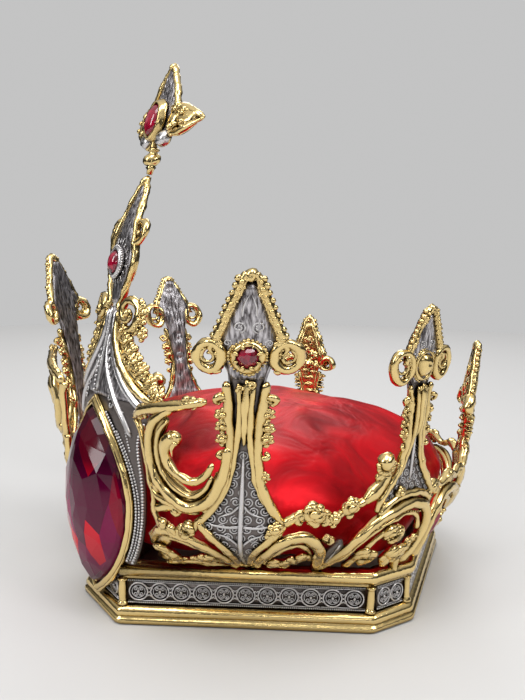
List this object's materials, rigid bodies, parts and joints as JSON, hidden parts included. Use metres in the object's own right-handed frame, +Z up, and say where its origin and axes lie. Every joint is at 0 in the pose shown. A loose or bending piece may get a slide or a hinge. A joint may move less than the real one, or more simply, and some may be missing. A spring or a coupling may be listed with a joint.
{
  "type": "ceremonial crown",
  "caption": "Tall leaf-point crown of gilt metal and silver filigree with ruby stones, a front spire with a finial, an octagonal base and a soft red cap.",
  "frame": {"origin": "centre of the bounding box's underside, on the plane the bottom rim rests on", "axes": "+Z up through the open top of the crown, -Y towards the front with the great stone, +X to the wearer's left"},
  "size_m": [0.2584, 0.232, 0.282],
  "materials": {
    "gold": "polished",
    "silver": "oxidised filigree",
    "ruby": "faceted",
    "satin": "satin",
    "leather": "soft"
  },
  "bodies": {
    "root": {"bottom_rim": "gold", "ledge_rim": "gold", "band_panel_front_right": "silver", "band_panel_right": "silver", "band_panel_back_right": "silver", "band_panel_back": "silver", "band_panel_back_left": "silver", "band_panel_left": "silver", "band_panel_front_left": "silver", "band_panel_front": "silver", "head_lining": "leather", "front_point_plate_right": "silver", "front_point_plate_left": "silver", "front_point_frame_right": "gold", "front_point_frame_left": "gold", "front_point_stone_right": "ruby", "front_point_stone_left": "ruby", "front_point_collet_right": "gold", "front_point_collet_left": "gold", "side_point_plate_right": "silver", "side_point_plate_left": "silver", "side_point_frame_right": "gold", "side_point_frame_left": "gold", "side_point_boss_right": "gold", "side_point_boss_left": "gold", "back_point_plate_right": "silver", "back_point_plate_left": "silver", "back_point_frame_right": "gold", "back_point_frame_left": "gold", "back_point_boss_right": "gold", "back_point_boss_left": "gold", "gallery_front_right": "gold", "gallery_front_left": "gold", "gallery_side_right": "gold", "gallery_side_left": "gold", "gallery_rear_right": "gold", "gallery_rear_left": "gold", "gallery_back": "gold", "front_scroll_right": "gold", "front_scroll_left": "gold", "side_stone_right": "ruby", "side_stone_left": "ruby", "side_collet_right": "gold", "side_collet_left": "gold", "front_stone": "ruby", "front_bezel": "gold", "front_plaque": "silver", "spire_blade": "silver", "spire_frame": "gold", "spire_stone": "ruby", "spire_collet": "silver", "spire_scroll_right": "gold", "spire_scroll_left": "gold", "finial_neck": "gold", "finial_leaf": "silver", "finial_frame": "gold", "finial_stone": "ruby", "finial_bezel": "gold", "cap": "satin"}
  },
  "joints": []
}
